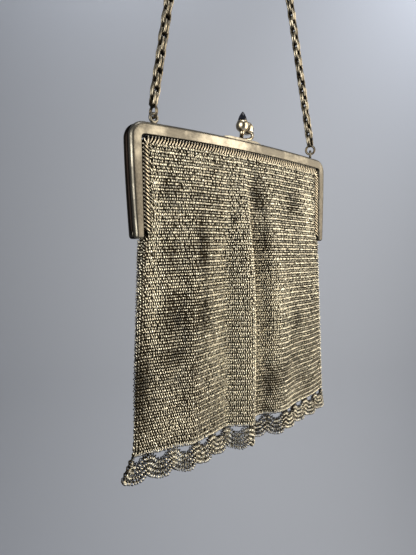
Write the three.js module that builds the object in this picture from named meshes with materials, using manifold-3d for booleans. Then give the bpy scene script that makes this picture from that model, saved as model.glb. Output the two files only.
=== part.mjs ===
// Lady's ring-mesh purse: two hinged frame jaws with a kiss-lock clasp, a folded bag of fine ring
// mesh laced into the jaws, a scalloped fringe on its bottom seam and a long carrying chain.
// Millimetres, +Z up, X along the frame, -Y to the front.
// The sub-parts are built round a point of their own: x = 0 in the middle of the frame, y = 0 in the
// split between the jaws, z = 0 at the ends of the frame's top edge. The group then moves them so
// that the origin is the top of the chain, where the purse hangs.

import * as THREE from 'three';
import { mergeVertices } from 'three/addons/utils/BufferGeometryUtils.js';
import Module from 'manifold-3d';

const wasm = await Module();
wasm.setup();

// Clearances
const gap = 0.3; // between two pieces that touch on the real purse
const overlap = 0.25; // how far soldered pieces sink into each other

// Frame jaws
const frameWidth = 124;
const armHeight = 45;
const jawDepth = 3.25;
const split = 0.35; // between the closed jaws
const topBarHeight = 5;
const armWidth = 4.75;
const topArch = 1.4; // rise of the top edge in the middle
const outerCorner = 6;
const innerCorner = 1.6;
const edgeRound = 0.9;
const armTaper = 1.5; // how far the outer edge comes in at an arm's foot
const taperStart = 8;
const armFootRound = 1.35;

// Hinge barrels
const barrelRadius = 1.25;
const barrelRise = 1.9; // from an arm's foot up to the barrel's axis
const barrelDome = 0.45;
const barrelSides = 16;
const domeShoulder = { out: 0.6, up: 0.7 }; // shares of the barrel's radius and the dome's height

// Chain lugs and end rings
const lugInset = 11.25; // from each end of the frame in to its lug
const lugRadius = 1.6;
const lugWire = 0.47;
const rightLugTurn = 36; // degrees that the right lug is turned from the frame's plane
const endRingRadius = 2.25;
const endRingWire = 0.48;

// Chain: a tube of the double links' outer width
const chainWidth = 4.2;
const chainSides = 8;
const chainSteps = 56;
const loopHeight = 180; // from the tops of the end rings to the centre of the top bend
const topBendRadius = 10;
const topBendShift = -4.4; // the hang point lies a little left of the middle

// Clasp
const stripLength = 24;
const stripShift = -1.8;
const stripWidth = 2.3;
const stripHeight = 0.8;
const stripTaper = 4.6; // length of the thinner run at each end of a strip
const stripTip = 0.35; // height at its very end, as a share of stripHeight
const stripShoulder = 0.9; // height where the run begins, as a share of stripHeight
const cupRadius = 3.05;
const cupRim = 2.05; // from the cup's centre up to its rim
const stoneRadius = 2.05;
const stoneHeight = 4.4;
const stoneSeat = 0.9; // how deep the stone sits in the cup
const stoneSwell = 1.9; // outline of the stone: higher is fuller below the tip
const stoneTip = 0.8; // and lower is blunter at the tip
const neckLength = 0.9; // below the ball
const turnedSides = 16;
// Each cup's centre, from the middle of the top edge, the lean of its axis, the wire below it and
// that wire's foot and bow
const leftCup = {
  x: -1.4, y: -1.5, z: 6.9, lean: [0.02, -0.05, 1], wire: 1.0, foot: 0.9, bow: [0, 0.2, 0.2],
};
const rightCup = {
  x: 5.5, y: 1.9, z: 7.5, lean: [-0.25, 0.62, 0.74], wire: 0.8, foot: -0.9, bow: [3.6, -0.4, -1.4],
};

// Laced binding between jaw and mesh
const bindingWidth = 2.3;
const bindingDepth = 1.7;
const bindingFoot = 4; // from an arm's foot up to the end of the lacing
const bindingSides = 6;
const bindingSteps = 40;

// Mesh bag
const wall = 1.0;
const mouthArch = 0.97; // how far the mouth follows the frame's arch in the middle
const meshRecess = 0.15; // from a jaw's face in to the mesh
const bagBottom = 129.8; // below the frame's top edge, at the corners
const bottomSag = 1.0; // how much lower the middle of the seam hangs
const hingeTuck = 0.05; // how far inside the arms the bag hangs just below them
const bagFlare = 6.3; // how much further out each side reaches at the bottom
const foldDepth = 7;
const seamDepth = 2.2; // both walls together at the bottom seam
const slitFoot = 2.5; // from an arm's foot up to the lower end of the side slit
const backFoldShare = 0.3; // folds of the back panel, mirrored, as a share of the front's

// Folds of the front panel at full growth, from the left to the right edge.
// at: share of the half width; out: share of foldDepth, forwards
const folds = [
  { at: -1, out: 0 },
  { at: -0.905, out: 0.02 },
  { at: -0.817, out: 0.2 },
  { at: -0.709, out: 0.28 },
  { at: -0.608, out: 0.6 },
  { at: -0.477, out: 0.38 },
  { at: -0.4, out: 0.26 },
  { at: -0.31, out: 0.08 },
  { at: -0.228, out: 0 },
  { at: -0.164, out: 0.46 },
  { at: -0.09, out: 0.97 },
  { at: -0.05, out: 0.95 },
  { at: -0.018, out: 0.48 },
  { at: 0.02, out: 0.06 },
  { at: 0.07, out: 0 },
  { at: 0.148, out: 0.12 },
  { at: 0.225, out: 0.6 },
  { at: 0.332, out: 0.77 },
  { at: 0.463, out: 0.5 },
  { at: 0.586, out: 0.34 },
  { at: 0.77, out: 0.29 },
  { at: 0.93, out: 0.05 },
  { at: 1, out: 0 },
];

// Sections of the bag from the mouth down.
// down: share of the mesh's height; grow: growth of the folds; close: how far the back panel has
// come to the front one; square: how square the bag's sides are in plan
const sections = [
  { down: 0, grow: 0, close: 0, square: 16 },
  { down: 0.14, grow: 0.3, close: 0, square: 16 },
  { down: 0.275, grow: 0.66, close: 0, square: 14 },
  { down: 0.315, grow: 0.78, close: 0, square: 12 },
  { down: 0.45, grow: 1.02, close: 0, square: 8 },
  { down: 0.6, grow: 1.08, close: 0.02, square: 6 },
  { down: 0.74, grow: 1.05, close: 0.1, square: 5 },
  { down: 0.86, grow: 1.02, close: 0.32, square: 4 },
  { down: 0.94, grow: 1, close: 0.62, square: 3.6 },
  { down: 1, grow: 1, close: 1, square: 3.5 },
];
const hollowFloor = 0.07; // what stays closed above the seam, as a share of the mesh's height
const columnStep = 0.088; // widest step between columns, as a share of the half width
const edgeColumn = 0.015; // from each edge in to its next column, as a share of the half width

// Fringe
const scallops = 13;
const fringeDrop = 12;
const fringeThickness = 1.0;
const scallopNotch = 2.8;
const firstHole = 0.8; // from the seam's left end in to the middle of the first hole
const lastHole = 5; // and from its right end to the middle of the last one
const fringeFlare = 2.6; // how far the hanging scallops spread further at each end
const ruffle = 1.3;
const fringeHead = 1.0;
const holeHeight = 2.6;
const holeShare = 0.32; // hole width as a share of a scallop
const scallopFlat = 2.4; // outline of a scallop: higher is flatter below, with a sharper notch
const flareEnd = 5; // higher keeps the spread nearer to the ends
const shoulderShare = 0.18; // place of the column between a scallop's notch and its hole
const bodyRows = [0.35, 0.7, 1]; // rows below the holes, as shares of what hangs there

// Sizes that follow from those above
const halfFrame = frameWidth / 2;
const innerHalf = halfFrame - armWidth;
const faceY = split / 2 + jawDepth; // distance of a jaw's face from the split
const jawMiddle = split / 2 + jawDepth / 2;
const mouthHalf = innerHalf - bindingWidth - 2 * gap;
const hingeHalf = innerHalf - hingeTuck;
const mouthDown = topBarHeight + bindingWidth + 2 * gap;
const slitBottom = armHeight - slitFoot;
const panelY = faceY - meshRecess;
const bindingY = panelY - wall / 2;

const silver = { color: 0xb8ae98, roughness: 0.38, metalness: 1 };
const meshSilver = { color: 0xb5a98e, roughness: 0.45, metalness: 1 };
const darkStone = { color: 0x0b0b10, roughness: 0.12, metalness: 0 };

// Height of the frame's arched top edge at x
function archAt(x) {
  return topArch * (1 - (x / (halfFrame - outerCorner)) ** 2);
}

// A closed geometry as a solid for joining and cutting
function toSolid(geometry) {
  const bare = geometry.clone();
  bare.deleteAttribute('normal');
  bare.deleteAttribute('uv');
  const merged = mergeVertices(bare, 1e-4);
  return new wasm.Manifold(new wasm.Mesh({
    numProp: 3,
    vertProperties: merged.attributes.position.array,
    triVerts: merged.index.array,
  }));
}

function toGeometry(solid) {
  const mesh = solid.getMesh();
  const geometry = new THREE.BufferGeometry();
  geometry.setAttribute('position', new THREE.BufferAttribute(mesh.vertProperties, 3));
  geometry.setIndex(new THREE.BufferAttribute(mesh.triVerts, 1));
  geometry.computeVertexNormals();
  return geometry;
}

// Closed geometry from points and faces given as lists of point numbers
function facesToGeometry(points, faces) {
  const geometry = new THREE.BufferGeometry();
  geometry.setAttribute('position', new THREE.Float32BufferAttribute(points.flat(), 3));
  geometry.setIndex(faces.flatMap(([a, b, c, d]) => (d === undefined ? [a, b, c] : [a, b, c, a, c, d])));
  geometry.computeVertexNormals();
  return geometry;
}

// Smooth curve through a table's rows: the value of one column at a place in another
function tableAt(rows, placeKey, valueKey, place) {
  let i = 0;
  while (i < rows.length - 2 && place > rows[i + 1][placeKey]) i += 1;
  const at = (k) => rows[Math.min(Math.max(k, 0), rows.length - 1)];
  const slope = (k) => (at(k + 1)[valueKey] - at(k - 1)[valueKey])
    / (at(k + 1)[placeKey] - at(k - 1)[placeKey]);
  const span = at(i + 1)[placeKey] - at(i)[placeKey];
  const t = (place - at(i)[placeKey]) / span;
  const rise = at(i + 1)[valueKey] - at(i)[valueKey];
  return at(i)[valueKey] + rise * t * t * (3 - 2 * t)
    + span * t * (1 - t) * (slope(i) * (1 - t) - slope(i + 1) * t);
}

// Tube of a round or oval section along a path; the section lies across the path
function tubeAlong(path, halfWidth, halfDepth, sides, steps) {
  const section = [];
  for (let i = 0; i < sides; i += 1) {
    const angle = 2 * Math.PI * i / sides;
    section.push(new THREE.Vector2(halfWidth * Math.cos(angle), halfDepth * Math.sin(angle)));
  }
  return new THREE.ExtrudeGeometry(new THREE.Shape(section), {
    steps, extrudePath: path, bevelEnabled: false,
  });
}

// Outline of a jaw: an upside-down U with an arched top, tapered arms and rounded feet
function jawOutline() {
  const footHalf = halfFrame - armTaper;
  const bend = halfFrame - outerCorner;
  const taperMiddle = -(armHeight + taperStart) / 2;
  const outline = new THREE.Shape();
  outline.moveTo(-innerHalf - armFootRound, -armHeight);
  outline.lineTo(-footHalf + armFootRound, -armHeight);
  outline.quadraticCurveTo(-footHalf, -armHeight, -footHalf, -armHeight + armFootRound);
  outline.quadraticCurveTo(-halfFrame, taperMiddle, -halfFrame, -taperStart);
  outline.lineTo(-halfFrame, -outerCorner);
  outline.absarc(-bend, -outerCorner, outerCorner, Math.PI, Math.PI / 2, true);
  outline.quadraticCurveTo(0, 2 * topArch, bend, 0);
  outline.absarc(bend, -outerCorner, outerCorner, Math.PI / 2, 0, true);
  outline.lineTo(halfFrame, -taperStart);
  outline.quadraticCurveTo(halfFrame, taperMiddle, footHalf, -armHeight + armFootRound);
  outline.quadraticCurveTo(footHalf, -armHeight, footHalf - armFootRound, -armHeight);
  outline.lineTo(innerHalf + armFootRound, -armHeight);
  outline.quadraticCurveTo(innerHalf, -armHeight, innerHalf, -armHeight + armFootRound);
  const innerBend = innerHalf - innerCorner;
  outline.lineTo(innerHalf, -topBarHeight - innerCorner);
  outline.absarc(innerBend, -topBarHeight - innerCorner, innerCorner, 0, Math.PI / 2, false);
  outline.quadraticCurveTo(0, 2 * topArch - topBarHeight, -innerBend, -topBarHeight);
  outline.absarc(-innerBend, -topBarHeight - innerCorner, innerCorner, Math.PI / 2, Math.PI, false);
  outline.lineTo(-innerHalf, -armHeight + armFootRound);
  outline.quadraticCurveTo(-innerHalf, -armHeight, -innerHalf - armFootRound, -armHeight);
  return outline;
}

// side is -1 for the front jaw and 1 for the back one
function jawSolid(side) {
  const geometry = new THREE.ExtrudeGeometry(jawOutline(), {
    depth: jawDepth - 2 * edgeRound,
    bevelThickness: edgeRound,
    bevelSize: edgeRound,
    bevelOffset: -edgeRound,
    bevelSegments: 2,
    curveSegments: 5,
  });
  geometry.rotateX(Math.PI / 2);
  geometry.translate(0, side * jawMiddle + jawDepth / 2 - edgeRound, 0);
  return [-1, 1].reduce((jaw, end) => jaw.subtract(barrelHole(end)), toSolid(geometry));
}

// Axis height of the hinge barrels, and their reach along X
const barrelZ = -armHeight + barrelRise;
const barrelInner = innerHalf - gap;
const barrelOuter = halfFrame - armTaper + gap;

function barrelHole(end) {
  const radius = barrelRadius + gap;
  const length = armWidth + 4 * armTaper;
  const hole = new THREE.CylinderGeometry(radius, radius, length, barrelSides);
  hole.rotateZ(Math.PI / 2);
  hole.translate(end * (barrelInner + barrelOuter) / 2, 0, barrelZ);
  return toSolid(hole);
}

// Hinge barrel with a low dome at each end
function hingeBarrel(end) {
  const half = (barrelOuter - barrelInner) / 2;
  const profile = [
    [0, -half - barrelDome],
    [barrelRadius * domeShoulder.out, -half - barrelDome * domeShoulder.up],
    [barrelRadius, -half],
    [barrelRadius, half],
    [barrelRadius * domeShoulder.out, half + barrelDome * domeShoulder.up],
    [0, half + barrelDome],
  ];
  const points = profile.map(([r, h]) => new THREE.Vector2(r, h));
  const barrel = new THREE.LatheGeometry(points, barrelSides);
  barrel.rotateZ(Math.PI / 2);
  barrel.translate(end * (barrelInner + barrelOuter) / 2, 0, barrelZ);
  return toGeometry(toSolid(barrel));
}

// Centre of a lug ring: it stands on the front jaw's top edge, sunk in a little
function lugCentre(end) {
  const x = end * (halfFrame - lugInset);
  return new THREE.Vector3(x, -jawMiddle, archAt(x) + lugRadius + lugWire - overlap);
}

function lugTurn(end) {
  return end > 0 ? THREE.MathUtils.degToRad(rightLugTurn) : 0;
}

function lugSolid(end) {
  const lug = new THREE.TorusGeometry(lugRadius, lugWire, 6, 16);
  lug.rotateX(Math.PI / 2);
  lug.rotateZ(lugTurn(end));
  const centre = lugCentre(end);
  lug.translate(centre.x, centre.y, centre.z);
  return toSolid(lug);
}

// The end ring passes through the lug and is drawn up against the lug's top
function endRingCentre(end) {
  const rise = lugRadius - lugWire - gap - endRingWire + endRingRadius;
  return lugCentre(end).add(new THREE.Vector3(0, 0, rise));
}

function endRing(end) {
  const ring = new THREE.TorusGeometry(endRingRadius, endRingWire, 6, 14);
  ring.rotateX(Math.PI / 2);
  ring.rotateZ(lugTurn(end) + Math.PI / 2);
  const centre = endRingCentre(end);
  ring.translate(centre.x, centre.y, centre.z);
  return toGeometry(toSolid(ring));
}

// Strip soldered along a jaw's top edge, which carries the clasp
function claspStrip(side) {
  const half = stripLength / 2;
  const edge = archAt(half);
  const shoulder = edge + stripHeight * stripShoulder;
  const outline = new THREE.Shape();
  outline.moveTo(-half, edge - overlap);
  outline.quadraticCurveTo(0, 2 * archAt(0) - edge - overlap, half, edge - overlap);
  outline.lineTo(half, edge + stripHeight * stripTip);
  outline.lineTo(half - stripTaper, shoulder);
  outline.quadraticCurveTo(0, 2 * (archAt(0) + stripHeight) - shoulder, stripTaper - half, shoulder);
  outline.lineTo(-half, edge + stripHeight * stripTip);
  const strip = new THREE.ExtrudeGeometry(outline, {
    depth: stripWidth, bevelEnabled: false, curveSegments: 6,
  });
  strip.rotateX(Math.PI / 2);
  strip.translate(stripShift, side * jawMiddle + stripWidth / 2, 0);
  return toSolid(strip);
}

// Frame of one cup: centre and axis
function cupPose(cup) {
  return {
    centre: new THREE.Vector3(cup.x, cup.y, cup.z + topArch),
    axis: new THREE.Vector3(...cup.lean).normalize(),
  };
}

// Puts a geometry that was turned about the Z axis onto a cup's axis
function seatOn(geometry, { centre, axis }) {
  geometry.applyQuaternion(new THREE.Quaternion().setFromUnitVectors(new THREE.Vector3(0, 0, 1), axis));
  geometry.translate(centre.x, centre.y, centre.z);
  return geometry;
}

// Solid turned from a profile of [radius, height] about the Z axis
function turned(profile, sides) {
  const geometry = new THREE.LatheGeometry(profile.map(([r, h]) => new THREE.Vector2(r, h)), sides);
  geometry.rotateX(Math.PI / 2);
  return geometry;
}

// Ball cup with a short neck below and a seat for the stone in its top
function cupSolid(cup) {
  const rimAngle = Math.asin(cupRim / cupRadius);
  const neckAngle = -Math.acos(cup.wire / cupRadius);
  const steps = 6;
  const profile = [[0, -cupRadius - neckLength], [cup.wire, -cupRadius - neckLength]];
  for (let i = 0; i < steps; i += 1) {
    const angle = neckAngle + (rimAngle - neckAngle) * i / steps;
    profile.push([cupRadius * Math.cos(angle), cupRadius * Math.sin(angle)]);
  }
  const seatRadius = stoneRadius + gap;
  const floor = cupRim - stoneSeat - gap;
  const rim = Math.max(seatRadius + gap, cupRadius * Math.cos(rimAngle));
  profile.push([rim, cupRim], [seatRadius, cupRim], [seatRadius, floor], [0, floor]);
  return toSolid(seatOn(turned(profile, turnedSides), cupPose(cup)));
}

// Pointed cabochon, seated in its cup
function stone(cup) {
  const foot = cupRim - stoneSeat;
  const steps = 7;
  const profile = [[0, foot]];
  for (let i = 0; i < steps; i += 1) {
    const t = i / steps;
    profile.push([stoneRadius * (1 - t ** stoneSwell) ** stoneTip, foot + (stoneHeight + stoneSeat) * t]);
  }
  profile.push([0, foot + stoneHeight + stoneSeat]);
  return toGeometry(toSolid(seatOn(turned(profile, turnedSides), cupPose(cup))));
}

// Wire that carries a cup: from the strip on its jaw up into the cup's neck
function stemSolid(cup, side) {
  const { centre, axis } = cupPose(cup);
  const neck = centre.clone().addScaledVector(axis, -cupRadius - neckLength + overlap);
  const foot = new THREE.Vector3(cup.foot, side * jawMiddle, topArch + stripHeight - overlap);
  const bend = foot.clone().lerp(neck, 0.5).add(new THREE.Vector3(...cup.bow));
  const path = new THREE.QuadraticBezierCurve3(foot, bend, neck);
  return toSolid(tubeAlong(path, cup.wire, cup.wire, 8, 9));
}

// side is -1 for the front jaw; its cup lies behind, over the back jaw, and the other way round
function frameJaw(side) {
  const cup = side < 0 ? rightCup : leftCup;
  const lugs = side < 0 ? [lugSolid(-1), lugSolid(1)] : [];
  const pieces = [claspStrip(side), stemSolid(cup, side), cupSolid(cup), ...lugs];
  return toGeometry(pieces.reduce((jaw, piece) => jaw.add(piece), jawSolid(side)));
}

// Laced wire between a jaw's inner edge and the mesh, as a plain oval cord round three sides
function binding(side) {
  const half = innerHalf - gap - bindingWidth / 2;
  const top = -topBarHeight - gap - bindingWidth / 2;
  const bend = innerCorner + bindingWidth / 2;
  const y = side * bindingY;
  const foot = -armHeight + bindingFoot;
  const path = new THREE.CurvePath();
  const at = (x, z) => new THREE.Vector3(x, y, z);
  const corner = (end, from, to) => new THREE.QuadraticBezierCurve3(from, at(end * half, top), to);
  const crown = at(0, top + 2 * topArch);
  path.add(new THREE.LineCurve3(at(-half, foot), at(-half, top - bend)));
  path.add(corner(-1, at(-half, top - bend), at(bend - half, top)));
  path.add(new THREE.QuadraticBezierCurve3(at(bend - half, top), crown, at(half - bend, top)));
  path.add(corner(1, at(half - bend, top), at(half, top - bend)));
  path.add(new THREE.LineCurve3(at(half, top - bend), at(half, foot)));
  const cord = tubeAlong(path, bindingDepth / 2, bindingWidth / 2, bindingSides, bindingSteps);
  return toGeometry(toSolid(cord));
}

// Half width of the bag at a share of its height: narrow between the arms, wider below the hinges
function halfWidthAt(down) {
  const height = bagBottom - mouthDown;
  const arms = (armHeight - bindingFoot - mouthDown) / height;
  const hinge = (armHeight + gap - mouthDown) / height;
  if (down <= arms) return mouthHalf;
  if (down <= hinge) return mouthHalf + (hingeHalf - mouthHalf) * (down - arms) / (hinge - arms);
  return hingeHalf + bagFlare * (down - hinge) / (1 - hinge);
}

// A point of the bag's outer surface, or with inset its inner one.
// side is -1 in front and 1 behind; at is the share of the half width
function bagPoint(side, at, down, inset) {
  const row = (key) => tableAt(sections, 'down', key, down);
  const half = halfWidthAt(down) - inset;
  const round = (1 - Math.abs(at) ** row('square')) ** (1 / row('square'));
  const foldAt = (place) => foldDepth * tableAt(folds, 'at', 'out', place) * row('grow');
  const front = -panelY - foldAt(at);
  const hanging = panelY + foldAt(-at) * backFoldShare;
  const back = hanging + (front + seamDepth - hanging) * row('close');
  const y = side < 0 ? front + inset : back - inset;
  const corner = innerCorner + gap;
  const beyond = Math.max(0, Math.abs(at) * (mouthHalf - inset) - mouthHalf + corner);
  const rounded = corner - Math.sqrt(corner ** 2 - beyond ** 2);
  const top = topArch * (mouthArch - at * at) - mouthDown - rounded;
  const bottom = -bagBottom - bottomSag * (1 - at * at);
  return [at * half, y * round, top + (bottom - top) * down];
}

// Columns across the bag: each row of the fold table, and one between rows that lie far apart
function bagColumns() {
  const columns = folds.flatMap(({ at }, i) => {
    const before = i === 0 ? at : folds[i - 1].at;
    return at - before > columnStep ? [(at + before) / 2, at] : [at];
  });
  return [-1, edgeColumn - 1, ...columns.slice(1, -1), 1 - edgeColumn, 1];
}

// Closed body between the front and back surfaces, given the rows' depths
function pouch(downs, inset) {
  const columns = bagColumns();
  const last = columns.length - 1;
  const points = [];
  const faces = [];
  const loop = 2 * last;
  downs.forEach((down) => {
    for (let k = 0; k < loop; k += 1) {
      const side = k <= last ? -1 : 1;
      points.push(bagPoint(side, columns[k <= last ? k : loop - k], down, inset));
    }
  });
  for (let j = 0; j < downs.length - 1; j += 1) {
    for (let k = 0; k < loop; k += 1) {
      const next = (k + 1) % loop;
      faces.push([j * loop + k, (j + 1) * loop + k, (j + 1) * loop + next, j * loop + next]);
    }
  }
  const cap = (row, flip) => {
    for (let k = 0; k < last; k += 1) {
      const corners = new Set([k, k + 1, (loop - k - 1) % loop, (loop - k) % loop]);
      const numbered = [...corners].map((v) => row * loop + v);
      faces.push(flip ? numbered.reverse() : numbered);
    }
  };
  cap(0, false);
  cap(downs.length - 1, true);
  return toSolid(facesToGeometry(points, faces));
}

// Cuts the side wall open between the two panels, from the mouth down to the hinges
function sideSlit(end) {
  const depth = 2 * (panelY - wall);
  const height = slitBottom - mouthDown + 2 * topBarHeight;
  const width = 3 * wall + armWidth;
  const slit = new THREE.BoxGeometry(width, depth, height);
  slit.translate(end * (mouthHalf - 2 * wall + width / 2), 0, height / 2 - slitBottom);
  return toSolid(slit);
}

function meshBag() {
  const outer = pouch(sections.map(({ down }) => down), 0);
  const floor = 1 - hollowFloor;
  const hollowDowns = sections.map(({ down }) => down).filter((down) => down < floor);
  const hollow = pouch([-overlap / bagBottom, ...hollowDowns, floor], wall);
  return toGeometry([-1, 1].reduce((bag, end) => bag.subtract(sideSlit(end)), outer.subtract(hollow)));
}

// Share of the half width at which a share of the seam's own length is reached
const seamLengths = (() => {
  const rows = [{ at: edgeColumn - 1, length: 0 }];
  const steps = 240;
  for (let i = 1; i <= steps; i += 1) {
    const at = (1 - edgeColumn) * (2 * i / steps - 1);
    const [x0, y0] = bagPoint(-1, rows[i - 1].at, 1, 0);
    const [x1, y1] = bagPoint(-1, at, 1, 0);
    rows.push({ at, length: rows[i - 1].length + Math.hypot(x1 - x0, y1 - y0) });
  }
  return rows;
})();

// A point of the fringe's middle surface. along runs from 0 to 1 over all scallops, down from the
// seam to the scallop's edge. The strip hangs from the seam and ruffles downwards, and the first and
// last scallops, gathered at the seam's ends, spread to their full width below
function fringePoint(along, down) {
  const scallop = along * scallops;
  const part = scallop - Math.floor(Math.min(scallop, scallops - 1e-6));
  const edge = fringeDrop - scallopNotch * Math.abs(2 * part - 1) ** scallopFlat;
  const fall = gap + down;
  const share = Math.min(fall / fringeDrop, 1);
  const seamLength = seamLengths[seamLengths.length - 1].length;
  const pitch = (seamLength - firstHole - lastHole) / (scallops - 1);
  const hanging = firstHole + (scallop - 0.5) * pitch;
  const fromStart = Math.max(hanging, 2 * firstHole * scallop);
  const held = Math.min(fromStart, seamLength - 2 * lastHole * (scallops - scallop));
  const at = tableAt(seamLengths, 'length', 'at', held);
  const seam = bagPoint(-1, at, 1, 0);
  const spread = share * (hanging - held + fringeFlare * Math.abs(at) ** flareEnd * Math.sign(at));
  const wave = ruffle * share * Math.sin(2 * Math.PI * scallop);
  return { x: seam[0] + spread, y: seam[1] + seamDepth / 2 + wave, z: seam[2] - fall, edge };
}

// Fringe: a strip of scallops with an open hole at the top of each, hung from a narrow head
function meshFringe() {
  const half = holeShare / 2;
  const parts = [0, shoulderShare, 0.5 - half, 0.5, 0.5 + half, 1 - shoulderShare];
  const columns = [];
  for (let s = 0; s < scallops; s += 1) parts.forEach((p) => columns.push((s + p) / scallops));
  columns.push(1);
  const levels = [0, fringeHead, fringeHead + holeHeight];
  const rows = levels.length + bodyRows.length;
  const depthAt = (along, j) => {
    if (j < levels.length) return levels[j];
    const bodyTop = fringeHead + holeHeight;
    return bodyTop + (fringePoint(along, 0).edge - bodyTop) * bodyRows[j - levels.length];
  };
  const solid = (i, j) => !(j === 1 && [2, 3].includes(i % parts.length));
  const inside = (i, j) => i >= 0 && i < columns.length - 1 && j >= 0 && j < rows - 1 && solid(i, j);
  const points = [];
  columns.forEach((along, i) => {
    const ahead = fringePoint(Math.min(along + 0.004, 1), 0);
    const behind = fringePoint(Math.max(along - 0.004, 0), 0);
    const across = new THREE.Vector2(behind.y - ahead.y, ahead.x - behind.x).normalize();
    for (let j = 0; j < rows; j += 1) {
      const p = fringePoint(along, depthAt(along, j));
      [-0.5, 0.5].forEach((face) => {
        const shift = face * fringeThickness;
        points.push([p.x + across.x * shift, p.y + across.y * shift, p.z]);
      });
    }
  });
  const id = (i, j, face) => (i * rows + j) * 2 + face;
  const faces = [];
  for (let i = 0; i < columns.length - 1; i += 1) {
    for (let j = 0; j < rows - 1; j += 1) {
      if (!inside(i, j)) continue;
      faces.push([id(i, j, 0), id(i, j + 1, 0), id(i + 1, j + 1, 0), id(i + 1, j, 0)]);
      faces.push([id(i, j, 1), id(i + 1, j, 1), id(i + 1, j + 1, 1), id(i, j + 1, 1)]);
      if (!inside(i, j - 1)) faces.push([id(i, j, 0), id(i + 1, j, 0), id(i + 1, j, 1), id(i, j, 1)]);
      if (!inside(i, j + 1)) {
        faces.push([id(i, j + 1, 0), id(i, j + 1, 1), id(i + 1, j + 1, 1), id(i + 1, j + 1, 0)]);
      }
      if (!inside(i - 1, j)) faces.push([id(i, j, 0), id(i, j, 1), id(i, j + 1, 1), id(i, j + 1, 0)]);
      if (!inside(i + 1, j)) {
        faces.push([id(i + 1, j, 0), id(i + 1, j + 1, 0), id(i + 1, j + 1, 1), id(i + 1, j, 1)]);
      }
    }
  }
  return toGeometry(toSolid(facesToGeometry(points, faces)));
}

// Chain: up from the left end ring, round the bend where the purse hangs, and down to the right one
function chainPath() {
  const start = (end) => {
    const rise = endRingRadius + endRingWire + gap;
    return endRingCentre(end).add(new THREE.Vector3(0, 0, rise));
  };
  const left = start(-1);
  const right = start(1);
  const centre = new THREE.Vector3(topBendShift, -jawMiddle, left.z + loopHeight);
  const tangent = (foot, end) => {
    const away = Math.hypot(foot.x - centre.x, foot.z - centre.z);
    const down = Math.atan2(foot.z - centre.z, foot.x - centre.x);
    const angle = down + end * Math.acos(topBendRadius / away);
    return { angle, point: centre.clone().add(
      new THREE.Vector3(topBendRadius * Math.cos(angle), 0, topBendRadius * Math.sin(angle))) };
  };
  const leftTangent = tangent(left, -1);
  const rightTangent = tangent(right, 1);
  const from = leftTangent.angle + 2 * Math.PI;
  const turn = rightTangent.angle - from;
  const bendPoints = [0.25, 0.5, 0.75].map((t) => {
    const angle = from + turn * t;
    return centre.clone().add(new THREE.Vector3(
      topBendRadius * Math.cos(angle), 0, topBendRadius * Math.sin(angle)));
  });
  const path = new THREE.CurvePath();
  path.add(new THREE.LineCurve3(left, leftTangent.point));
  path.add(new THREE.CatmullRomCurve3([leftTangent.point, ...bendPoints, rightTangent.point]));
  path.add(new THREE.LineCurve3(rightTangent.point, right));
  return { path, top: centre.z + topBendRadius + chainWidth / 2 };
}

function chain() {
  const tube = tubeAlong(chainPath().path, chainWidth / 2, chainWidth / 2, chainSides, chainSteps);
  return toGeometry(toSolid(tube));
}

const purse = new THREE.Group();
purse.position.set(-topBendShift, jawMiddle, -chainPath().top);

function addPiece(name, geometry, look) {
  const piece = new THREE.Mesh(geometry, new THREE.MeshStandardMaterial(look));
  piece.name = name;
  purse.add(piece);
}

addPiece('frame_front', frameJaw(-1), silver);
addPiece('frame_back', frameJaw(1), silver);
addPiece('clasp_stone_left', stone(leftCup), darkStone);
addPiece('clasp_stone_right', stone(rightCup), darkStone);
addPiece('hinge_barrel_left', hingeBarrel(-1), silver);
addPiece('hinge_barrel_right', hingeBarrel(1), silver);
addPiece('binding_front', binding(-1), silver);
addPiece('binding_back', binding(1), silver);
addPiece('mesh_bag', meshBag(), meshSilver);
addPiece('mesh_fringe', meshFringe(), meshSilver);
addPiece('end_ring_left', endRing(-1), silver);
addPiece('end_ring_right', endRing(1), silver);
addPiece('chain', chain(), silver);

export default purse;
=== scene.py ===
import math

import bpy
import numpy as np
from mathutils import Matrix, Vector


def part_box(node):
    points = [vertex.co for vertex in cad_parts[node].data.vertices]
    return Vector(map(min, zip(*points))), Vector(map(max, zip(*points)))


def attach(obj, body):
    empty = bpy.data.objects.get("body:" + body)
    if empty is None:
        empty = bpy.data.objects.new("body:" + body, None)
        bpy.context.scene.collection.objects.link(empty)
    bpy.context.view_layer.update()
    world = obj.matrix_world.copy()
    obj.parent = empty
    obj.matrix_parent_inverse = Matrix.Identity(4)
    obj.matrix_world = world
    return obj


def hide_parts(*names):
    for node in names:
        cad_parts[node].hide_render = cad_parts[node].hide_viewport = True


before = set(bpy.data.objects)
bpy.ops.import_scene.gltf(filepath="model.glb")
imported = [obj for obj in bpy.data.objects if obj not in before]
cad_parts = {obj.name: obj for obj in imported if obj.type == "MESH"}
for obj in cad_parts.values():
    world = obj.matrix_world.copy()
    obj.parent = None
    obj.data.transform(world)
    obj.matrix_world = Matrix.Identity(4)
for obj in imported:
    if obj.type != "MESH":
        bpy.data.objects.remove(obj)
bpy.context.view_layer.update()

# Studio. The camera stands to the left of the purse, and a pale grey-blue sweep of paper, floor and
# wall in one, goes up behind it. The light is soft: a tall window in front on the right, a smaller
# one on the left, a weak lamp above, and two washes on the upper part of the wall.
bpy.ops.object.select_all(action="DESELECT")

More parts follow.
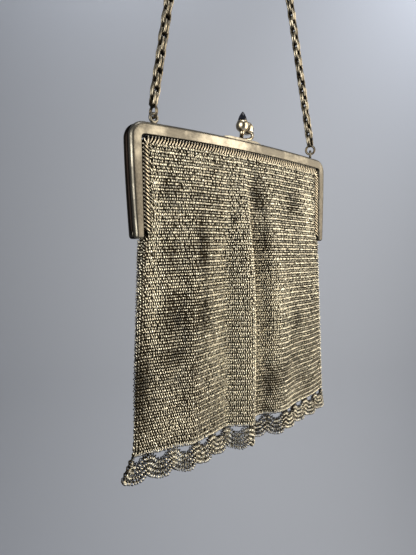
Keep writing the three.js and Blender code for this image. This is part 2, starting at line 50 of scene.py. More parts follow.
camera_data = bpy.data.cameras.new("camera")
camera_data.sensor_width = 36
camera_data.lens = 36 * 417.1 / 555
camera_data.clip_start = 0.01
camera_yaw, camera_pitch, camera_roll = (math.radians(a) for a in (40.28, -3.37, -0.84))
camera_forward = Vector((math.sin(camera_yaw) * math.cos(camera_pitch),
                         math.cos(camera_yaw) * math.cos(camera_pitch), math.sin(camera_pitch)))
level_right = Vector((math.cos(camera_yaw), -math.sin(camera_yaw), 0))
level_up = level_right.cross(camera_forward)
camera_right = level_right * math.cos(camera_roll) + level_up * math.sin(camera_roll)
camera_up = level_up * math.cos(camera_roll) - level_right * math.sin(camera_roll)
camera = bpy.data.objects.new("camera", camera_data)
bpy.context.scene.collection.objects.link(camera)
camera.matrix_world = Matrix((
    (camera_right.x, camera_up.x, -camera_forward.x, -0.1386),
    (camera_right.y, camera_up.y, -camera_forward.y, -0.1404),
    (camera_right.z, camera_up.z, -camera_forward.z, -0.25064),
    (0, 0, 0, 1)))
bpy.context.scene.camera = camera

floor_drop, wall_distance, floor_half, wall_height, sweep_bend = 1.3, 1.3, 3, 4, 0.6
bpy.ops.mesh.primitive_plane_add(size=2 * floor_half,
                                 location=(0, wall_distance - floor_half, -floor_drop))
sweep = bpy.context.object
sweep.name = "paper_sweep"
bpy.ops.object.mode_set(mode="EDIT")
bpy.ops.mesh.select_mode(type="EDGE")
bpy.ops.mesh.select_all(action="DESELECT")
bpy.ops.object.mode_set(mode="OBJECT")
for edge in sweep.data.edges:
    ends = [sweep.data.vertices[v].co for v in edge.vertices]
    edge.select = all(end.y > floor_half - 0.1 for end in ends)
bpy.ops.object.mode_set(mode="EDIT")
bpy.ops.mesh.extrude_region_move(TRANSFORM_OT_translate={"value": (0, 0, wall_height)})
bpy.ops.object.mode_set(mode="OBJECT")
for edge in sweep.data.edges:
    ends = [sweep.data.vertices[v].co for v in edge.vertices]
    edge.select = all(end.y > floor_half - 0.1 and end.z < 0.1 for end in ends)
bpy.ops.object.mode_set(mode="EDIT")
bpy.ops.mesh.bevel(offset=sweep_bend, segments=16)
bpy.ops.mesh.select_all(action="DESELECT")
bpy.ops.object.mode_set(mode="OBJECT")
bpy.ops.object.shade_smooth()
sweep.data.transform(Matrix.Translation(sweep.location))
sweep.location = (0, 0, 0)
sweep.data.transform(Matrix.Rotation(-camera_yaw, 4, "Z"))
paper = bpy.data.materials.new("grey_blue_paper")
paper.use_nodes = True
paper_shader = paper.node_tree.nodes["Principled BSDF"]
paper_shader.inputs["Base Color"].default_value = (0.52, 0.555, 0.63, 1)
paper_shader.inputs["Roughness"].default_value = 0.95
paper_shader.inputs["Specular IOR Level"].default_value = 0.1
sweep.data.materials.append(paper)


def soft_box(name, azimuth, elevation, distance, size, watts, tint, aim=(0, 0, -0.25), spread=180):
    """A flat light that faces its aim from that azimuth, elevation and distance."""
    light_data = bpy.data.lights.new(name, "AREA")
    light_data.shape = "RECTANGLE"
    light_data.size, light_data.size_y = size
    light_data.energy = watts
    light_data.color = tint
    light_data.spread = math.radians(spread)
    light = bpy.data.objects.new(name, light_data)
    bpy.context.scene.collection.objects.link(light)
    turn, rise = math.radians(azimuth), math.radians(elevation)
    back = Vector((math.sin(turn) * math.cos(rise), -math.cos(turn) * math.cos(rise), math.sin(rise)))
    light.location = Vector(aim) + back * distance
    light.rotation_euler = (-back).to_track_quat("-Z", "Y").to_euler()


soft_box("tall_window_right", 42, 0, 1.0, (0.9, 1.4), 17, (1.0, 0.91, 0.77))
soft_box("window_left", -72, 8, 1.0, (0.65, 0.9), 5.7, (1.0, 0.98, 0.92), spread=120)
soft_box("lamp_above", 10, 75, 0.9, (0.4, 0.4), 2, (0.97, 0.98, 1.0))
soft_box("wall_wash_right", 10, 20, 0.9, (0.5, 0.6), 9.5, (0.97, 0.98, 1.0), aim=(1.5, 0.42, 0.85),
         spread=110)
soft_box("wall_wash_high", 0, 10, 0.7, (0.8, 0.4), 1.3, (0.95, 0.97, 1.0), aim=(0.4, 1.35, 0.9),
         spread=110)

world = bpy.data.worlds.new("studio_air")
bpy.context.scene.world = world
world.use_nodes = True
world.node_tree.nodes["Background"].inputs["Color"].default_value = (0.36, 0.39, 0.43, 1)
world.node_tree.nodes["Background"].inputs["Strength"].default_value = 0.18
bpy.context.scene.view_settings.view_transform = "Standard"

# Frame jaws. Two flat silver bars, each bent to an upside-down U with a softly arched top, close
# against each other. Their outer edges are well rounded, the arms narrow towards the hinges, and
# years of handling left the faces mottled. The flat faces of the arms are painted darker towards the
# feet as shade, which leaves the rounded edges bright. Sizes are in millimetres.
MM = 0.001
jaw_low, jaw_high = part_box("frame_front")
frame_width, arm_height, jaw_depth, jaw_split = 124.0, 45.0, 3.25, 0.35
top_bar_height, arm_width, top_arch, inner_corner = 5.0, 4.75, 1.4, 1.6
arm_taper, taper_start, taper_curve, foot_round, foot_end = 1.5, 8.0, 1.6, 1.35, 4.0
edge_round, inner_edge_round = 1.5, 0.3
half_frame = frame_width / 2
inner_half = half_frame - arm_width
face_y = jaw_split / 2 + jaw_depth
jaw_middle = jaw_split / 2 + jaw_depth / 2
purse_middle = Vector(((jaw_low.x + jaw_high.x) / 2 / MM, jaw_low.y / MM + face_y,
                       jaw_low.z / MM + arm_height))


def place_mesh(piece):
    """Brings a piece modelled in millimetres round the middle of the frame to its place."""
    piece.data.transform(Matrix.Scale(MM, 4) @ Matrix.Translation(purse_middle) @ piece.matrix_world)
    piece.matrix_world = Matrix.Identity(4)
    bpy.ops.object.select_all(action="DESELECT")


def jaw_bar(name, side):
    """One jaw, drawn out from the foot of its left arm to the foot of its right arm."""
    arm_middle = inner_half + arm_width / 2
    bpy.ops.object.select_all(action="DESELECT")
    bpy.ops.mesh.primitive_plane_add(size=1, location=(-arm_middle, side * jaw_middle, -arm_height))
    bar = bpy.context.object
    bar.name = name
    bpy.ops.object.mode_set(mode="EDIT")
    bpy.ops.transform.resize(value=(arm_width, jaw_depth, 1))
    for outer, offset, segments in ((True, edge_round, 6), (False, inner_edge_round, 2)):
        bpy.ops.mesh.select_all(action="DESELECT")
        bpy.ops.object.mode_set(mode="OBJECT")
        for vertex in bar.data.vertices:
            near_outer = (bar.matrix_world @ vertex.co).x < -arm_middle
            vertex.select = near_outer == outer
        bpy.ops.object.mode_set(mode="EDIT")
        bpy.ops.mesh.bevel(offset=offset, segments=segments, profile=0.5, affect="VERTICES")
    bpy.ops.mesh.select_all(action="SELECT")
    bend_x, bend_z = inner_half - inner_corner, -top_bar_height - inner_corner
    foot_steps = [foot_round * (1 - math.cos(a * math.pi / 10)) for a in range(1, 6)]
    levels = [-arm_height + s for s in foot_steps] + list(np.linspace(-arm_height + foot_end, bend_z, 12))
    height = -arm_height
    for level in levels:
        bpy.ops.mesh.extrude_region_move(TRANSFORM_OT_translate={"value": (0, 0, level - height)})
        height = level
    lean = 2 * top_arch / bend_x
    y = side * jaw_middle
    arch_middle = bend_z - bend_x / math.tan(lean)
    for steps, angle, centre in ((12, lean - math.pi / 2, (-bend_x, y, bend_z)),
                                 (40, -2 * lean, (0, y, arch_middle)),
                                 (12, lean - math.pi / 2, (bend_x, y, bend_z))):
        bpy.ops.mesh.spin(steps=steps, angle=angle, center=centre, axis=(0, 1, 0))
    for level in reversed([-arm_height] + levels[:-1]):
        bpy.ops.mesh.extrude_region_move(TRANSFORM_OT_translate={"value": (0, 0, level - height)})
        height = level
    bpy.ops.object.mode_set(mode="OBJECT")
    bar.data.transform(bar.matrix_world)
    bar.matrix_world = Matrix.Identity(4)
    # The top bar is deeper than the arms are wide, the arms narrow downwards, and the feet are round.
    stretch = (top_bar_height + inner_corner) / (arm_width + inner_corner)
    for vertex in bar.data.vertices:
        x, y, z = vertex.co
        if z > bend_z:
            z = bend_z + (z - bend_z) * stretch
        share = min(max((abs(x) - inner_half) / arm_width, 0), 1)
        fall = min(max((-z - taper_start) / (arm_height - taper_start), 0), 1)
        x -= math.copysign(arm_taper * fall ** taper_curve * share, x)
        sunk = max(0, -arm_height + foot_round - z) / foot_round
        shrink = foot_round * (1 - math.sqrt(max(0, 1 - sunk ** 2))) * 0.8
        centre_x = math.copysign(inner_half + (arm_width - arm_taper) / 2, x)
        x += (centre_x - x) * shrink / (arm_width / 2)
        y += (side * jaw_middle - y) * shrink / (jaw_depth / 2)
        vertex.co = (x, y, z)
    bpy.ops.object.mode_set(mode="EDIT")
    bpy.ops.mesh.select_all(action="SELECT")
    bpy.ops.mesh.remove_doubles(threshold=0.0005)
    bpy.ops.mesh.normals_make_consistent(inside=False)
    bpy.ops.mesh.select_all(action="DESELECT")
    bpy.ops.object.mode_set(mode="OBJECT")
    bpy.ops.object.shade_smooth_by_angle(angle=math.radians(50))
    return bar


jaw_front = jaw_bar("jaw_front", -1)
jaw_back = jaw_bar("jaw_back", 1)
for jaw in (jaw_front, jaw_back):
    place_mesh(jaw)


class Wire:
    """One shader socket. Sums and products of wires add the Math nodes that they need."""

    def __init__(self, finish, socket):
        self.finish, self.socket = finish, socket

    def _math(self, operation, a, b):
        return self.finish.node("ShaderNodeMath", {"operation": operation}, {0: a, 1: b})

    def __add__(self, other):
        return self._math("ADD", self, other)

    def __radd__(self, other):
        return self._math("ADD", other, self)

    def __sub__(self, other):
        return self._math("SUBTRACT", self, other)

    def __rsub__(self, other):
        return self._math("SUBTRACT", other, self)

    def __mul__(self, other):
        return self._math("MULTIPLY", self, other)

    def __rmul__(self, other):
        return self._math("MULTIPLY", other, self)

    def __abs__(self):
        return self._math("ABSOLUTE", self, 0)


class Finish:
    """A material with its Principled shader, and one method that makes any other node."""

    def __init__(self, name):
        self.material = bpy.data.materials.new(name)
        self.material.use_nodes = True
        self.tree = self.material.node_tree
        self.shader = self.tree.nodes["Principled BSDF"]

    def node(self, kind, settings=None, inputs=None, out=0):
        made = self.tree.nodes.new(kind)
        for key, value in (settings or {}).items():
            if key == "stops":
                ramp = made.color_ramp
                while len(ramp.elements) < len(value):
                    ramp.elements.new(1)
                for element, (place, colour) in zip(ramp.elements, value):
                    element.position, element.color = place, (*colour, 1)
            else:
                setattr(made, key, value)
        for key, value in (inputs or {}).items():
            self.set(made.inputs[key], value)
        return Wire(self, made.outputs[out])

    def set(self, socket, value):
        if isinstance(value, Wire):
            self.tree.links.new(value.socket, socket)
        elif socket.type == "RGBA":
            socket.default_value = (*value, 1)
        else:
            socket.default_value = value

    def shade(self, **inputs):
        for key, value in inputs.items():
            self.set(self.shader.inputs[key.replace("_", " ").title().replace("Ior", "IOR")], value)

    def place(self, stretch=(1, 1, 1)):
        here = self.node("ShaderNodeTexCoord", out=3)
        return self.node("ShaderNodeMapping", {}, {"Vector": here, "Scale": stretch})

    def axis(self, vector, letter):
        return self.node("ShaderNodeSeparateXYZ", {}, {0: vector}, out="XYZ".index(letter))

    def noise(self, vector, scale, detail=2.0, roughness=0.5):
        return self.node("ShaderNodeTexNoise", {}, {
            "Vector": vector, "Scale": scale, "Detail": detail, "Roughness": roughness})

    def between(self, value, arm_foot_shade, high, to_low=0.0, to_high=1.0):
        return self.node("ShaderNodeMapRange", {"clamp": True}, {
            "Value": value, "From Min": arm_foot_shade, "From Max": high, "To Min": to_low, "To Max": to_high})

    def mix(self, factor, a, b):
        return self.node("ShaderNodeMix", {"data_type": "RGBA"}, {0: factor, 6: a, 7: b}, out=2)

    def bump(self, height, strength, distance):
        return self.node("ShaderNodeBump", {}, {
            "Height": height, "Strength": strength, "Distance": distance})


def frame_silver():
    finish = Finish("frame_silver_worn")
    spot = finish.place()
    # The groove between the jaws is painted nearly black as shade, clouds of tarnish lie on the faces, and
    # the flat face of each arm is painted darker towards its foot as shade, while its rounded edge stays
    # bright.
    from_groove = abs(finish.axis(spot, "Y") - (purse_middle.y + 0.55) * MM)
    groove_shade = finish.between(from_groove, 0.0010, 0.0016, 1, 0)
    broad = finish.noise(spot, 42, 2, 0.5)
    cloud = finish.between(finish.noise(spot, 120, 5, 0.68) + (broad - 0.5) * 0.9, 0.41, 0.71)
    fine = finish.between(finish.noise(spot, 1100, 3, 0.6), 0.35, 0.7)
    scratch = finish.noise(finish.place((60, 60, 900)), 4, 2, 0.6)
    facing = finish.node("ShaderNodeTexCoord", out=1)
    flat = finish.between(abs(finish.axis(facing, "Y")), 0.8, 0.97)
    arm_low, arm_high = (purse_middle.z - 24) * MM, (purse_middle.z - 1) * MM
    arm_foot_shade = finish.between(finish.axis(spot, "Z"), arm_low, arm_high, 0.95, 0.1)
    clean = finish.mix(cloud, (0.13, 0.12, 0.10), (0.43, 0.395, 0.32))
    worn = finish.mix(flat * arm_foot_shade, clean, (0.075, 0.067, 0.054))
    speckled = finish.mix(fine * 0.55, worn, (0.15, 0.135, 0.11))
    finish.shade(base_color=finish.mix(groove_shade, speckled, (0.008, 0.006, 0.005)), metallic=1.0,
                 roughness=finish.between(cloud + fine * 0.4, 0.0, 1.4, 0.46, 0.27),
                 normal=finish.bump(scratch + fine * 0.6, 0.12, 0.0001))
    return finish.material


frame_metal = frame_silver()
for jaw, node in ((jaw_front, "frame_front"), (jaw_back, "frame_back")):
    jaw.data.materials.append(frame_metal)
    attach(jaw, "root")
    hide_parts(node)

# Clasp strips. A thin silver strip is soldered along the top of each jaw, thinner towards its ends,
# and carries the wire of that jaw's clasp ball.
strip_length, strip_width, strip_height, strip_shift = 24.0, 2.3, 0.8, -1.8


def arch_at(x):
    return top_arch * (1 - (x / (half_frame - 6)) ** 2)


def clasp_strip(name, side):
    bpy.ops.object.select_all(action="DESELECT")
    bpy.ops.mesh.primitive_cube_add(size=1, location=(strip_shift, side * jaw_middle, 0))
    strip = bpy.context.object
    strip.name = name
    bpy.ops.object.mode_set(mode="EDIT")
    bpy.ops.transform.resize(value=(strip_length, strip_width, 1))
    bpy.ops.mesh.subdivide(number_cuts=16)
    bpy.ops.object.mode_set(mode="OBJECT")
    for vertex in strip.data.vertices:
        along = abs(vertex.co.x) / (strip_length / 2)
        taper = min(1, (1 - along) / 0.38)
        arch = arch_at(vertex.co.x + strip_shift)
        crown = strip_height * (0.35 + 0.65 * taper * (2 - taper))
        share = vertex.co.z + 0.5
        across = vertex.co.y / (strip_width / 2)
        vertex.co.z = arch - 0.6 + share * (0.6 + crown - 0.22 * across ** 4)
        vertex.co.y *= 0.62 + 0.38 * taper
    bpy.ops.object.shade_smooth_by_angle(angle=math.radians(40))
    place_mesh(strip)
    strip.data.materials.append(frame_metal)
    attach(strip, "root")


clasp_strip("clasp_strip_front", -1)
clasp_strip("clasp_strip_back", 1)

# Clasp balls. Each is a hollow silver ball on a stout wire, cut open at the top as a cup for its
# stone. The left ball stands on the back jaw and the right one on the front jaw, so that they snap
# past each other.
cup_radius, cup_rim, stone_radius, stone_height, stone_seat = 3.05, 1.9, 2.25, 4.55, 0.9
neck_level, neck_length, clearance = -0.93 * cup_radius, 0.9, 0.3
clasp_cups = {
    "left": {"centre": (-1.4, -1.5, 8.3), "lean": (0.02, -0.05, 1), "wire": 1.0, "side": 1,
             "foot": 0.9, "bow": (0, 0.2, 0.2)},
    "right": {"centre": (5.5, 1.9, 8.9), "lean": (-0.25, 0.62, 0.74), "wire": 0.8, "side": -1,
              "foot": -0.9, "bow": (3.6, -0.4, -1.4)},
}


def cup_turn(cup):
    axis = Vector(cup["lean"]).normalized()
    return Matrix.Translation(cup["centre"]) @ axis.to_track_quat("Z", "Y").to_matrix().to_4x4()


def clasp_ball(name, cup):
    bpy.ops.object.select_all(action="DESELECT")
    bpy.ops.mesh.primitive_uv_sphere_add(segments=40, ring_count=24, radius=cup_radius)
    ball = bpy.context.object
    ball.name = name
    bpy.ops.object.mode_set(mode="EDIT")
    bpy.ops.mesh.select_all(action="SELECT")
    bpy.ops.mesh.bisect(plane_co=(0, 0, cup_rim), plane_no=(0, 0, 1), clear_outer=True, use_fill=True)
    bpy.ops.mesh.select_all(action="DESELECT")
    bpy.ops.mesh.select_mode(type="FACE")
    bpy.ops.object.mode_set(mode="OBJECT")
    for face in ball.data.polygons:
        face.select = face.center.z > cup_rim - 0.001
    bpy.ops.object.mode_set(mode="EDIT")
    # The rim is rolled out a little, and the hole goes down to the stone's seat.
    bpy.ops.mesh.extrude_region_move(TRANSFORM_OT_translate={"value": (0, 0, 0.12)})
    rim_radius = math.sqrt(cup_radius ** 2 - cup_rim ** 2)
    bpy.ops.transform.resize(value=(1.04, 1.04, 1), center_override=(0, 0, cup_rim + 0.12))
    bpy.ops.mesh.extrude_region_move(TRANSFORM_OT_translate={"value": (0, 0, 0.12)})
    inner = (stone_radius + 0.06) / (rim_radius * 1.04)
    bpy.ops.transform.resize(value=(inner, inner, 1), center_override=(0, 0, cup_rim + 0.24))
    bpy.ops.mesh.extrude_region_move(TRANSFORM_OT_translate={"value": (0, 0, -stone_seat - clearance)})
    bpy.ops.mesh.select_all(action="DESELECT")
    bpy.ops.object.mode_set(mode="OBJECT")
    for face in ball.data.polygons:
        face.select = face.center.z < neck_level
    bpy.ops.object.mode_set(mode="EDIT")
    # The underside runs out into a short neck as thick as the wire.
    bpy.ops.mesh.extrude_region_move(TRANSFORM_OT_translate={"value": (0, 0, -neck_length)})
    bpy.ops.mesh.select_all(action="DESELECT")
    bpy.ops.object.mode_set(mode="OBJECT")
    for vertex in ball.data.vertices:
        if vertex.co.z < neck_level:
            reach = math.hypot(vertex.co.x, vertex.co.y)
            if reach > cup["wire"]:
                vertex.co.x *= cup["wire"] / reach
                vertex.co.y *= cup["wire"] / reach
    bpy.ops.object.shade_smooth_by_angle(angle=math.radians(48))
    ball.data.transform(cup_turn(cup))
    return ball


def stout_wire(name, points, radius):
    """A round wire along a smooth curve, as a closed mesh with capped ends."""
    line = bpy.data.curves.new(name, "CURVE")
    line.dimensions = "3D"
    line.bevel_depth, line.bevel_resolution, line.resolution_u = radius, 3, 8
    line.use_fill_caps = True
    spline = line.splines.new("NURBS")
    spline.points.add(len(points) - 1)
    for point, place in zip(spline.points, points):
        point.co = (*place, 1)
    spline.use_endpoint_u = True
    spline.order_u = 3
    wire = bpy.data.objects.new(name, line)
    bpy.context.scene.collection.objects.link(wire)
    bpy.ops.object.select_all(action="DESELECT")
    wire.select_set(True)
    bpy.context.view_layer.objects.active = wire
    bpy.ops.object.convert(target="MESH")
    wire = bpy.context.object
    bpy.ops.object.shade_smooth_by_angle(angle=math.radians(50))
    return wire


def bright_silver():
    finish = Finish("bright_silver_rubbed")
    spot = finish.place()
    cloud = finish.between(finish.noise(spot, 320, 3, 0.6), 0.35, 0.7)
    finish.shade(base_color=finish.mix(cloud, (0.46, 0.385, 0.27), (0.80, 0.71, 0.55)), metallic=1.0,
                 roughness=finish.between(cloud, 0, 1, 0.34, 0.2),
                 normal=finish.bump(finish.noise(spot, 1400, 2, 0.5), 0.1, 0.0001))
    return finish.material


rubbed_metal = bright_silver()
for label, cup in clasp_cups.items():
    ball = clasp_ball(f"clasp_ball_{label}", cup)
    place_mesh(ball)
    turn = cup_turn(cup)
    neck = turn @ Vector((0, 0, -cup_radius - neck_length + 0.3))
    foot = Vector((cup["foot"], cup["side"] * jaw_middle, top_arch + strip_height - 0.3))
    bend = (foot + neck) / 2 + Vector(cup["bow"])
    stem = stout_wire(f"clasp_wire_{label}", [foot, bend, neck], cup["wire"])
    place_mesh(stem)
    for piece in (ball, stem):
        piece.data.materials.append(rubbed_metal)
        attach(piece, "root")

# Stones. Two pointed cabochons of a nearly black stone are ground smooth and polished. Each sits deep
# in its cup, and the cup's rim is pressed in round its foot.


def dark_stone():
    finish = Finish("near_black_stone")
    depth = finish.noise(finish.place(), 500, 3, 0.6)
    finish.shade(base_color=finish.mix(finish.between(depth, 0.35, 0.7), (0.004, 0.004, 0.006),
                                       (0.02, 0.022, 0.032)),
                 roughness=finish.between(depth, 0.3, 0.7, 0.08, 0.15), specular_ior_level=0.3)
    return finish.material


stone_finish = dark_stone()
for label, cup in clasp_cups.items():
    bpy.ops.object.select_all(action="DESELECT")
    bpy.ops.mesh.primitive_uv_sphere_add(segments=32, ring_count=24, radius=1)
    stone = bpy.context.object
    stone.name = f"stone_{label}"
    foot, height = cup_rim - stone_seat, stone_height + stone_seat
    # Full at the foot and drawn in to a point.
    for vertex in stone.data.vertices:
        share = min(max((vertex.co.z + 1) / 2, 0), 1)
        reach = math.hypot(vertex.co.x, vertex.co.y)
        if reach > 1e-6:
            wide = stone_radius * (1 - share ** 2.1) ** 0.85 * min(1, (share / 0.03) ** 0.5)
            vertex.co.x *= wide / reach
            vertex.co.y *= wide / reach
        vertex.co.z = foot + height * share
    bpy.ops.object.shade_smooth_by_angle(angle=math.radians(50))
    stone.data.transform(cup_turn(cup))
    place_mesh(stone)
    stone.data.materials.append(stone_finish)
    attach(stone, "root")
    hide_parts(f"clasp_stone_{label}")

# Hinges. The rounded feet of both jaws close round a short silver barrel at each side. A rivet goes
# through it and holds the jaws together.
barrel_radius, barrel_rise = 1.25, 1.9
for label, end in (("left", -1), ("right", 1)):
    outer = half_frame - arm_taper + clearance
    inner = inner_half - clearance
    bpy.ops.object.select_all(action="DESELECT")
    bpy.ops.mesh.primitive_cylinder_add(
        vertices=32, radius=barrel_radius, depth=outer - inner + 0.5, rotation=(0, math.pi / 2, 0),
        location=(end * (outer + inner) / 2, 0, -arm_height + barrel_rise))
    barrel = bpy.context.object
    barrel.name = f"hinge_rivet_{label}"
    bpy.ops.object.mode_set(mode="EDIT")
    bpy.ops.mesh.select_all(action="SELECT")
    bpy.ops.mesh.bevel(offset=0.35, segments=3)
    bpy.ops.object.mode_set(mode="OBJECT")
    bpy.ops.object.shade_smooth_by_angle(angle=math.radians(40))
    place_mesh(barrel)
    barrel.data.materials.append(frame_metal)
    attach(barrel, "root")
    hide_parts(f"hinge_barrel_{label}")

# Lugs and end rings. A small wire ring stands soldered on the front jaw near each end, and a loose
# ring through it carries the chain.
lug_inset, lug_radius, lug_wire, right_lug_turn = 11.25, 1.6, 0.66, math.radians(36)
end_ring_radius, end_ring_wire = 2.25, 0.58


def brown_silver():
    finish = Finish("silver_gone_brown")
    cloud = finish.between(finish.noise(finish.place(), 700, 3, 0.6), 0.38, 0.66)
    finish.shade(base_color=finish.mix(cloud, (0.03, 0.022, 0.014), (0.2, 0.165, 0.115)), metallic=1.0,
                 roughness=0.34)
    return finish.material


brown_metal = brown_silver()


def small_ring(name, radius, wire, turn, centre, metal):
    bpy.ops.object.select_all(action="DESELECT")
    bpy.ops.mesh.primitive_torus_add(major_segments=40, minor_segments=14, major_radius=radius,
                                     minor_radius=wire)
    ring = bpy.context.object
    ring.name = name
    bpy.ops.object.shade_smooth()
    ring.data.transform(Matrix.Translation(centre) @ Matrix.Rotation(turn, 4, "Z")
                        @ Matrix.Rotation(math.pi / 2, 4, "X"))
    place_mesh(ring)
    ring.data.materials.append(metal)
    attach(ring, "root")
    return ring


chain_feet = {}
for label, end in (("left", -1), ("right", 1)):
    turn = right_lug_turn if end > 0 else 0
    x = end * (half_frame - lug_inset)
    lug_z = arch_at(x) + lug_radius + lug_wire - 0.25
    ring_z = lug_z + lug_radius - lug_wire - 0.3 - end_ring_wire + end_ring_radius
    small_ring(f"lug_{label}", lug_radius, lug_wire, turn, (x, -jaw_middle, lug_z), frame_metal)
    ring = small_ring(f"end_ring_piece_{label}", end_ring_radius, end_ring_wire, turn + math.pi / 2,
                      (x, -jaw_middle, ring_z), brown_metal)
    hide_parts(f"end_ring_{label}")
    chain_feet[label] = Vector((x, -jaw_middle, ring_z + end_ring_radius + end_ring_wire + 0.3))

# Chain. Pairs of oval rings of silver wire, each pair turned a quarter from the last, run in one loop
# from the left end ring up to the hand and down to the right one.
chain_pitch, link_long, link_wide, link_wire, pair_gap = 3.7, 6.9, 4.1, 1.15, 0.56
loop_height, top_bend_radius, top_bend_shift = 180.0, 10.0, -4.4


def chain_route():
    """Points of the chain's middle line: straight runs from both feet to the bend at the hand."""
    left, right = chain_feet["left"], chain_feet["right"]
    centre = Vector((top_bend_shift, -jaw_middle, left.z + loop_height))

    def tangent(foot, end):
        away = math.hypot(foot.x - centre.x, foot.z - centre.z)
        down = math.atan2(foot.z - centre.z, foot.x - centre.x)
        return down + end * math.acos(top_bend_radius / away)

    start, stop = tangent(left, -1) + 2 * math.pi, tangent(right, 1)
    bend = [centre + Vector((top_bend_radius * math.cos(a), 0, top_bend_radius * math.sin(a)))
            for a in np.linspace(start, stop, 60)]
    return np.array([tuple(p) for p in (left, *bend, right)])


def spread_copies(name, base, centres, axes_a, axes_b, axes_c):
    """One mesh of many copies of a small base mesh. Each copy has its centre and its three axes."""
    shape = np.array([v.co for v in base.data.vertices])
    faces = np.array([f.vertices[:] for f in base.data.polygons])
    corners = faces.shape[1]
    points = (centres[:, None, :] + shape[None, :, 0:1] * axes_a[:, None, :]
              + shape[None, :, 1:2] * axes_b[:, None, :] + shape[None, :, 2:3] * axes_c[:, None, :])
    count = len(centres)
    all_faces = (faces[None] + (np.arange(count) * len(shape))[:, None, None]).reshape(-1, corners)
    mesh = bpy.data.meshes.new(name)
    mesh.vertices.add(count * len(shape))
    mesh.vertices.foreach_set("co", points.astype(np.float32).ravel())
    mesh.loops.add(all_faces.size)
    mesh.loops.foreach_set("vertex_index", all_faces.astype(np.int32).ravel())
    mesh.polygons.add(len(all_faces))
    mesh.polygons.foreach_set("loop_start", np.arange(0, all_faces.size, corners, dtype=np.int32))
    mesh.polygons.foreach_set("use_smooth", np.ones(len(all_faces), bool))
    mesh.update(calc_edges=True)
    mesh.validate()
    piece = bpy.data.objects.new(name, mesh)
    bpy.context.scene.collection.objects.link(piece)
    return piece


def base_ring(radius, wire, around, across, long=1.0):
    """The ring that a row of copies is made from. Its hole looks along Z, and long stretches it in Y."""
    bpy.ops.object.select_all(action="DESELECT")
    bpy.ops.mesh.primitive_torus_add(major_segments=around, minor_segments=across,
                                     major_radius=radius, minor_radius=wire)
    ring = bpy.context.object
    for vertex in ring.data.vertices:
        vertex.co.y += math.copysign((long - 1) * radius, vertex.co.y) if abs(vertex.co.y) > 1e-6 else 0
    return ring


def unit(vectors):
    return vectors / np.maximum(np.linalg.norm(vectors, axis=-1, keepdims=True), 1e-9)


def run_along(points):
    """How far along a line of points each of them lies."""
    return np.concatenate(([0], np.cumsum(np.linalg.norm(np.diff(points, axis=0), axis=1))))


def spaced(points, count, reach):
    """Evenly spaced places on a line of points, and the line's direction near each of them."""
    run = run_along(points)
    places = (np.arange(count) + 0.5) * run[-1] / count
    here, ahead, behind = (
        np.stack([np.interp(places + shift, run, points[:, k]) for k in range(3)], axis=1)
        for shift in (0, reach, -reach))
    return here, unit(ahead - behind)


route = chain_route()
stations = int(round(run_along(route)[-1] / chain_pitch))
centres, along = spaced(route, stations, 0.5)
depth_way = np.tile([0.0, 1.0, 0.0], (stations, 1))
side_way = unit(np.cross(along, depth_way))
luck = np.random.default_rng(7)
quarter = (np.arange(stations) % 2) * math.pi / 2 + luck.normal(0, 0.12, stations)
link_normal = side_way * np.cos(quarter)[:, None] + depth_way * np.sin(quarter)[:, None]
link_across = np.cross(along, link_normal)
link = base_ring((link_wide - link_wire) / 2, link_wire / 2, 12, 5,
                 1 + (link_long - link_wide) / (link_wide - link_wire))
pair = np.repeat([-pair_gap, pair_gap], stations)[:, None]
centres, along, link_across, link_normal = (
    np.tile(a, (2, 1)) for a in (centres, along, link_across, link_normal))
chain = spread_copies("chain_links", link, centres + pair * link_normal, link_across, along, link_normal)
shape = np.array([v.co for v in link.data.vertices])
chain_reach = (pair[:, :, None] * link_normal[:, None] + shape[None, :, 0:1] * link_across[:, None]
               + shape[None, :, 2:3] * link_normal[:, None])
bpy.data.objects.remove(link)


def note_wear_and_shade(piece, wear):
    """Keeps how far out each point of the wire stands, from 0 in the recess, painted dark as shade, to 1
    where hands rub it bright.
    """
    attribute = piece.data.attributes.new("worn", "FLOAT", "POINT")
    attribute.data.foreach_set("value", np.asarray(wear).astype(np.float32).ravel())


def wire_silver():
    finish = Finish("wire_silver_aged_and_shaded")
    spot = finish.place()
    cloud = finish.noise(spot, 260, 3, 0.65)
    fine = finish.noise(spot, 1500, 2, 0.5)
    worn = finish.node("ShaderNodeAttribute", {"attribute_name": "worn"}, out=2)
    # Where the wire stands out it is rubbed bright, and in its recesses it is painted dark as shade.
    rubbed = finish.between(worn + (cloud - 0.5) * 0.9, 0.7, 1.18)
    finish.shade(base_color=finish.mix(rubbed, (0.03, 0.024, 0.016), (0.66, 0.58, 0.44)), metallic=1.0,
                 roughness=finish.between(rubbed, 0, 1, 0.5, 0.26),
                 normal=finish.bump(fine, 0.15, 0.0001))
    return finish.material


aged_and_shaded_wire = wire_silver()
# The outer sides of the links are rubbed bright, and their inner sides are painted dark as shade.
note_wear_and_shade(chain, np.linalg.norm(chain_reach, axis=-1) / (link_wide / 2))
place_mesh(chain)
chain.data.materials.append(aged_and_shaded_wire)
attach(chain, "root")
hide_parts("chain")

# Binding. A silver wire is laced in close turns through the jaw's inner edge and the first ring of
# each column of mesh. Behind it lies a flat rail, painted nearly black as the shade behind the turns.
# On the top bar the turns stand nearly upright, and on the arms they slope.
lace_pitch, lace_wire, lace_long, lace_deep = 1.5, 0.7, 3.8, 1.6
binding_width, wall, mesh_recess, lace_inset = 2.3, 1.0, 0.15, 1.7
rail_radius, rail_sunk, rail_flatness = 1.3, 0.3, 0.25
panel_y = face_y - mesh_recess
binding_y = panel_y - wall / 2


